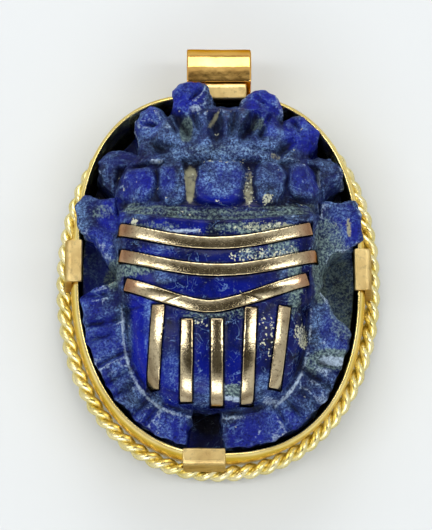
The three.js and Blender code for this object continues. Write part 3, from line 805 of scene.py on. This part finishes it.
pyriteOvals = [
    (2.85, 3.75, 0.3, 0.3, 1), (3, 0.45, 1.7, 0.3, 0.85), (1.9, 0.15, 1.6, 0.22, 0.6),
    (3, 1.9, 1.5, 0.28, 0.55), (2.75, -4.2, 0.4, 1.3, 0.35), (4.7, -3.9, 0.35, 0.6, 0.9),
    (4.85, -4.4, 0.3, 0.3, 1), (-0.95, -3.5, 0.35, 0.2, 0.9), (-4.85, 2.25, 0.2, 0.2, 1),
    (1.75, 4.3, 0.3, 1.2, 0.45), (0.3, 5.95, 1.6, 0.15, 0.3), (0, 3.6, 0.2, 0.2, 0.9),
]


def ovalShare(ovals, x, y):
    share = np.zeros(len(x))
    for *oval, strength in ovals:
        share = np.maximum(share, strength * smoothStep(1.3, 0.75, ovalReach(x, y, *oval, 2.4)))
    return share


def carveStone():
    piece = meltTogether(stoneBlank(), stone["grain"], 3)
    mesh = piece.data
    points, normals = readVectors(mesh), readVectors(mesh, "normal")
    x, y, z = points.T.copy()
    facing = np.clip(normals[:, 2] * 1.6, 0, 1) * (z > stone["plateTop"] + 0.4)
    polished = polishedShare(x, y) * (z > stone["shoulder"])
    under = z < stone["plateTop"] + 0.3
    level = 0.45  # scars cut as much below the blocked-out skin as their ridges stand over it
    scars = chipScars(points, carving["scarSize"], 11) - level
    scars = scars + 0.35 * (chipScars(points, carving["smallScarSize"], 23) - level)
    wave = carving["waveDepth"] * softNoise(points, carving["waveSize"], 3, 2)
    neckAmount = neckShare(x, y)
    rough = np.where(under, 0.12, 1.0) * (1 - polished) * (1 - 0.7 * neckAmount)
    points += normals * (rough * carving["scarDepth"] * scars + (1 - rough) * wave)[:, None]
    seat = smoothStep(-0.02, 0.06, inStrip(x, y, strip["gap"])) * (z > stone["shoulder"] + 0.6)
    drop = np.maximum(grooveDepth(x, y), neckAmount * neck["depth"])
    drop = np.maximum(drop, wingSeam(x, y)[0] * carving["creaseDepth"])
    drop = np.maximum(drop, ribShare(x, y) * ribs["depth"])
    points[:, 2] -= np.maximum(drop * facing, seat * strip["seatDepth"] / np.clip(normals[:, 2], 0.3, 1))
    writePoints(mesh, points)
    triangles = sum(len(face.vertices) - 2 for face in mesh.polygons)
    print("stone remeshed to", triangles, "triangles")
    if triangles > stone["triangles"]:
        applyModifier(piece, "DECIMATE", ratio=stone["triangles"] / triangles)
    colourStone(piece.data)
    return piece


def colourStone(mesh):
    # amounts at each vertex that the material mixes its colours by
    points, normals = readVectors(mesh), readVectors(mesh, "normal")
    x, y, z = points.T
    bentX, bentY = handCut(x, y)
    polished = polishedShare(x, y) * (z > stone["shoulder"])
    raised = smoothStep(stone["plateTop"] + 0.2, stone["plateTop"] + 1.2, z)
    edges = standingProud(mesh, points, normals, 6)
    lumps = standingProud(mesh, points, normals, 60)
    patches = softNoise(points, 1.3, 9, 4)
    ridge = smoothStep(0.006, 0.03, edges) * (1 - polished)
    seat = inStrip(x, y, strip["gap"]) > -0.02
    seam, wingOut = wingSeam(x, y)
    legEdge = smoothStep(0.03, 0.0, np.abs(wingOut - 1.06)) * smoothStep(-1.0, -3.0, y)
    legEdge = legEdge * (0.5 + 0.9 * patches)
    cut = np.clip(grooveDepth(x, y) / 0.6, 0, 1)
    vivid = ovalShare(vividOvals, bentX, bentY)
    silt = np.maximum(ovalShare(siltOvals, bentX, bentY),
                      1.4 * scoopShare(x, y, siltLine["from"], siltLine["to"], siltLine["width"]))
    silt *= 0.85 + 0.5 * softNoise(points, 0.3, 19, 2)
    neckAmount = neckShare(x, y)
    banded = (0.75 + 0.3 * patches) * neckAmount * (0.8 + 0.35 * np.sin(y * 18))
    calcite = np.maximum(ovalShare(calciteOvals, bentX, bentY), banded)
    dust = (1 - polished) * (0.2 + 0.6 * patches) * (1 - 0.8 * vivid) + 0.4 * ridge
    chalk = np.maximum(ovalShare(chalkOvals, bentX, bentY), legEdge)
    # painted shade: darker in hollows sunk below their surroundings, on the strips' seats, along the carved
    # cuts and in the crease by the wing cases, less where silt or calcite fills them
    paintedShadeAmount = np.maximum(smoothStep(-0.05, -0.28, lumps) * (1 - silt), np.where(seat, 1.0, 0.0))
    paintedShadeAmount = paintedShadeAmount + (0.4 * cut + 0.2 * seam) * (1 - silt) * (1 - 0.6 * calcite)
    amounts = {
        "rough": np.maximum((1 - polished) * (0.35 + 0.65 * raised), neckAmount),
        "vivid": vivid,
        "dusty": np.maximum(ovalShare(dustyOvals, bentX, bentY), dust) * (0.65 + 0.35 * raised),
        "calcite": calcite * (0.9 + 0.4 * patches),
        "silt": silt,
        "chalk": np.maximum(chalk, 0.5 * ridge * smoothStep(0.0, 0.3, patches)),
        "pyrite": np.maximum(ovalShare(pyriteOvals, bentX, bentY), 0.004 * raised),
        "hollow": paintedShadeAmount * (0.35 + 0.65 * raised),
    }
    for name, amount in amounts.items():
        writeAmount(mesh, name, amount)


scarabStone = finishPiece(carveStone(), lapis, "lapis", "scarab")
print("stone carved:", sum(len(f.vertices) - 2 for f in scarabStone.data.polygons), "triangles")


def steepness(x, y):
    # how much longer a step measured straight up is than one square to the surface
    slopeX = (backHeight(x + 0.05, y) - backHeight(x - 0.05, y)) / 0.1
    slopeY = (backHeight(x, y + 0.05) - backHeight(x, y - 0.05)) / 0.1
    return min(math.sqrt(1 + slopeX ** 2 + slopeY ** 2), 4)


def inlaidStrip(name, line, redness):
    # a strip bent over the beetle's back along a line in plan, slightly crowned, its edges worn
    line = np.asarray(line, float)
    ahead = np.gradient(line, axis=0)
    ahead /= np.linalg.norm(ahead, axis=1, keepdims=True)
    side = np.column_stack([-ahead[:, 1], ahead[:, 0]])
    shares = np.linspace(-1, 1, 9)
    sections = []
    widths = strip["width"] * (1 + 0.07 * softNoise(atHeight(line, 0), 1.1, 61))
    for spot, out, width in zip(line, side, widths):
        across = [spot + out * width / 2 * share for share in shares]
        top = [(px, py, backHeight(px, py) + strip["proud"] * steepness(px, py)
                + strip["crown"] * (1 - share ** 2)) for (px, py), share in zip(across, shares)]
        low = [(px, py, z - strip["depth"]) for px, py, z in reversed(top)]
        sections.append(top + low)
    piece = loft(name, sections)
    meltTogether(piece, strip["grain"], 3)
    roughen(piece, [(0.008, 1.8, 21), (0.0015, 0.3, 22)])
    points = readVectors(piece.data)
    fromEnd = np.minimum(*[np.linalg.norm(points[:, :2] - end, axis=1) for end in (line[0], line[-1])])
    writeAmount(piece.data, "ends", strip["redEnds"] * redness * smoothStep(1.3, 0.2, fromEnd))
    return piece


for name, form in crossStrips.items():
    xs = np.linspace(form["from"] + 0.02, form["to"] - 0.02, 90)
    piece = inlaidStrip(name.replace("inlay", "strip"), np.column_stack([xs, strapLine(form, xs)]), 1)
    finishPiece(piece, metals["wornRoseGold"], "inlay_gold", name)
for name, (start, end) in wingStrips.items():
    shares = np.linspace(0, 1, 60)[:, None]
    line = np.array(start) * (1 - shares) + np.array(end) * shares
    piece = inlaidStrip(name.replace("inlay", "strip"), line, 0.15)
    finishPiece(piece, metals["wornRoseGold"], "inlay_gold", name)
print("strips inlaid")


collet = {"thickness": 0.32, "bearing": 1.0, "bearingWidth": 1.35, "swell": 0.12, "steps": 480}
rope = {"halfWidth": 9.31, "halfLength": 11.46, "fullness": (2.15,) * 4, "height": 1.1, "strand": 0.245,
        "twists": 34, "stepsPerTwist": 20, "sides": 12}
bail = {"thickness": 0.45, "grain": 0.06}
claw = {"width": 2.45, "thickness": 0.4, "reach": 0.55, "bottom": 1.68, "clear": 0.05, "grain": 0.05}
# quarter turns from +X, and how far along the rim from there
clawPlaces = {"claw_right": (0, 0.07), "claw_top": (1, -0.45), "claw_left": (2, -0.58),
              "claw_bottom": (3, -0.81)}


def colletWall():
    wall = collet["thickness"]
    # the wall swells a little at mid height, and its rim is burnished over
    swell = collet["swell"]
    step, ledge = collet["bearing"], collet["bearingWidth"]
    profile = [(0, 0), (0, 0.6), (swell * 0.4, wallFoot), (swell * 0.9, 2.6), (swell, 3.4),
               (swell * 0.6, rimTop - 1.0), (0, rimTop - 0.45), (-0.06, rimTop - 0.2),
               (-wall + 0.1, rimTop - 0.015), (-wall + 0.05, rimTop), (-wall, rimTop - 0.06),
               (-wall, wallFoot), (-wall, step), (-ledge, step), (-ledge, 0)]
    piece = wallRing("colletWall", profile, collet["steps"])
    roughen(piece, [(0.025, 3.0, 31), (0.008, 0.7, 32)])
    return piece


def ropeEdging():
    # two wires twisted together and bent round the foot of the wall
    count = rope["twists"] * rope["stepsPerTwist"]
    place, outward = evenPoints(rope, count)
    strands = []
    ringAngles = np.linspace(0, 2 * math.pi, rope["sides"], endpoint=False)
    turns = 2 * math.pi * rope["twists"] * np.arange(count) / count
    for start in (0.0, math.pi):
        lean = turns + start
        middle = np.column_stack([place + outward * (rope["strand"] * 0.92 * np.cos(lean))[:, None],
                                  rope["height"] + rope["strand"] * 0.92 * np.sin(lean)])
        ahead = np.roll(middle, -1, 0) - np.roll(middle, 1, 0)
        ahead /= np.linalg.norm(ahead, axis=1, keepdims=True)
        up = np.cross(np.column_stack([outward, np.zeros(count)]), ahead)
        up /= np.linalg.norm(up, axis=1, keepdims=True)
        out = np.cross(ahead, up)
        rings = [middle + rope["strand"] * (out * math.cos(a) + up * math.sin(a)) for a in ringAngles]
        strands.append(loft("strand", np.stack(rings, 1), closed=True))
    return joined("ropeEdging", strands)


def clawStrap(name, quarterTurns, along):
    half = "halfWidth" if quarterTurns % 2 == 0 else "halfLength"
    rimOut, footOut = rimOval[half], footOval[half]
    clear, thick = claw["clear"], claw["thickness"]
    under = rimTop + clear
    top = under + thick
    face, tip = rimOut + clear + thick, rimOut - claw["reach"]
    profile = [(footOut + clear, claw["bottom"]), (footOut + clear + thick, claw["bottom"]),
               (face, top - 0.3), (face - 0.1, top - 0.08), (face - 0.3, top), (tip + 0.06, top),
               (tip, top - 0.06), (tip, under), (rimOut + clear, under)]
    turn = quarterTurns * math.pi / 2
    sections = []
    for share in np.linspace(-0.5, 0.5, 5):
        loop = []
        for out, up in profile:
            aside = along + share * claw["width"]
            loop.append((out * math.cos(turn) - aside * math.sin(turn),
                         out * math.sin(turn) + aside * math.cos(turn), up))
        sections.append(loop)
    piece = loft(name, sections)
    meltTogether(piece, claw["grain"], 4)
    roughen(piece, [(0.03, 1.1, 41 + quarterTurns), (0.01, 0.3, 45)])
    return piece


def bailLoop():
    # a wide band bent into a loop on a plate soldered to the wall, its axis across the pendant
    radius = (bailHigh.z - bailLow.z) / 2
    middle = (bailHigh.z + bailLow.z) / 2
    bend = bailHigh.y - radius
    seat = bailLow.y

    def outline(grow):
        turns = np.linspace(-math.pi / 2, math.pi / 2, 25)
        out = radius + grow
        loop = [(bend + out * math.cos(a), middle + out * math.sin(a)) for a in turns]
        return [(seat, middle - radius - grow), *loop, (seat, middle + radius + grow)]
    band = [*outline(0), *reversed(outline(-bail["thickness"]))]
    plate = [(seat, middle - radius), (seat + bail["thickness"], middle - radius),
             (seat + bail["thickness"], middle + radius), (seat, middle + radius)]
    shells = []
    for section, steps in ((band, 9), (plate, 2)):
        xs = bailLow.x + (bailHigh.x - bailLow.x) * np.linspace(0, 1, steps)
        shells.append(loft("bailShell", [[(x, y, z) for y, z in section] for x in xs]))
    piece = joined("bailLoop", shells)
    meltTogether(piece, bail["grain"], 4)
    roughen(piece, [(0.03, 1.6, 51), (0.008, 0.4, 52)])
    return piece


finishPiece(colletWall(), metals["polishedYellowGold"], "setting_gold", "collet")
finishPiece(ropeEdging(), metals["rubbedRopeGold"], "setting_gold", "rope_edging")
for name, (quarterTurns, along) in clawPlaces.items():
    strap = clawStrap(name.replace("claw_", "strap_"), quarterTurns, along)
    finishPiece(strap, metals["filedClawGold"], "claw_gold", name)
finishPiece(bailLoop(), metals["handledRedGold"], "setting_gold", "bail")
print("setting made")


studio = {"floorColour": "#d6dadc", "floorSize": 0.6, "overhead": 0.08, "shoulders": 0.8, "level": 0.58}


def makeFloor():
    half = studio["floorSize"] / 2
    mesh = bpy.data.meshes.new("floor")
    corners = [(-half, -half, 0), (half, -half, 0), (half, half, 0), (-half, half, 0)]
    mesh.from_pydata(corners, [], [(0, 1, 2, 3)])
    floor = placeObject("floor", mesh)
    floor.location.z = settingMiddle.z - 0.02 * millimetre
    material, tree = newMaterial("paleFloor")
    surface = addNode(tree, "BsdfPrincipled", Base_Color=linearColour(studio["floorColour"]), Roughness=0.9)
    addNode(tree, "OutputMaterial", surface)
    mesh.materials.append(material)


def makeWorld():
    # a light tent: bright round the sides, dimmer overhead where the camera looks in
    world = bpy.data.worlds.new("lightTent")
    bpy.context.scene.world = world
    world.use_nodes = True
    tree = world.node_tree
    tree.nodes.clear()
    # how near a direction is to the dim patch, which leans a little towards the camera
    up = addNode(tree, "VectorMath", addNode(tree, "TexCoord", out="Generated"), (0, -0.139, 0.99),
                 operation="DOT_PRODUCT", out="Value")
    tint = addNode(tree, "ValToRGB", Fac=up)
    steps = tint.node.color_ramp.elements
    steps[0].position, steps[1].position = 0.15, 0.935
    level, shoulders, overhead = studio["level"], studio["shoulders"], studio["overhead"]
    steps[0].color = (level, level * 0.97, level * 0.94, 1)
    steps[1].color = (overhead, overhead * 0.88, overhead * 0.7, 1)
    for position, grey in ((0.56, level * 1.3), (0.66, shoulders), (0.875, shoulders)):
        steps.new(position).color = (grey, grey, grey, 1)
    addNode(tree, "OutputWorld", addNode(tree, "Background", Color=tint, Strength=1.0))


# where each lamp stands for a polished bend to catch it, its size and its strength
softBoxes = {
    "leftSoftBox": ((-0.092, 0.0, 0.18), (0.03, 0.12), 0.085),
    "rightSoftBox": ((0.097, 0.0, 0.18), (0.03, 0.12), 0.08),
    "farSoftBox": ((0.0, 0.165, 0.105), (0.09, 0.15), 0.16),
    "nearSoftBox": ((-0.02, -0.165, 0.115), (0.12, 0.08), 0.1),
}


def softBox(name, where, size, power):
    light = bpy.data.lights.new(name, "AREA")
    light.shape = "RECTANGLE"
    light.size, light.size_y = size
    light.energy = power
    lamp = placeObject(name, light)
    lamp.location = Vector(where)
    lamp.rotation_euler = (settingMiddle - Vector(where)).to_track_quat("-Z", "Y").to_euler()


camera = {"distance": 110, "tilt": 10.5, "lens": 128.14, "aside": -0.128, "above": 0.379}


def makeCamera():
    # a long lens nearly overhead, leaning towards the tail; the aim is given from the middle of the rim
    tilt = math.radians(camera["tilt"])
    data = bpy.data.cameras.new("camera")
    data.lens = camera["lens"]
    data.sensor_width = 36
    data.clip_start = 0.005
    item = placeObject("camera", data)
    back = Vector((0, -math.sin(tilt), math.cos(tilt)))
    upward = Vector((0, math.cos(tilt), math.sin(tilt)))
    aim = settingMiddle + Vector((camera["aside"], 0, rimTop)) * millimetre
    aim = aim + upward * camera["above"] * millimetre
    item.location = aim + back * camera["distance"] * millimetre
    item.rotation_euler = (-back).to_track_quat("-Z", "Y").to_euler()
    bpy.context.scene.camera = item


makeFloor()
makeWorld()
for name, (where, size, power) in softBoxes.items():
    softBox(name, where, size, power)
makeCamera()
bpy.context.scene.view_settings.view_transform = "Standard"
print("studio set")
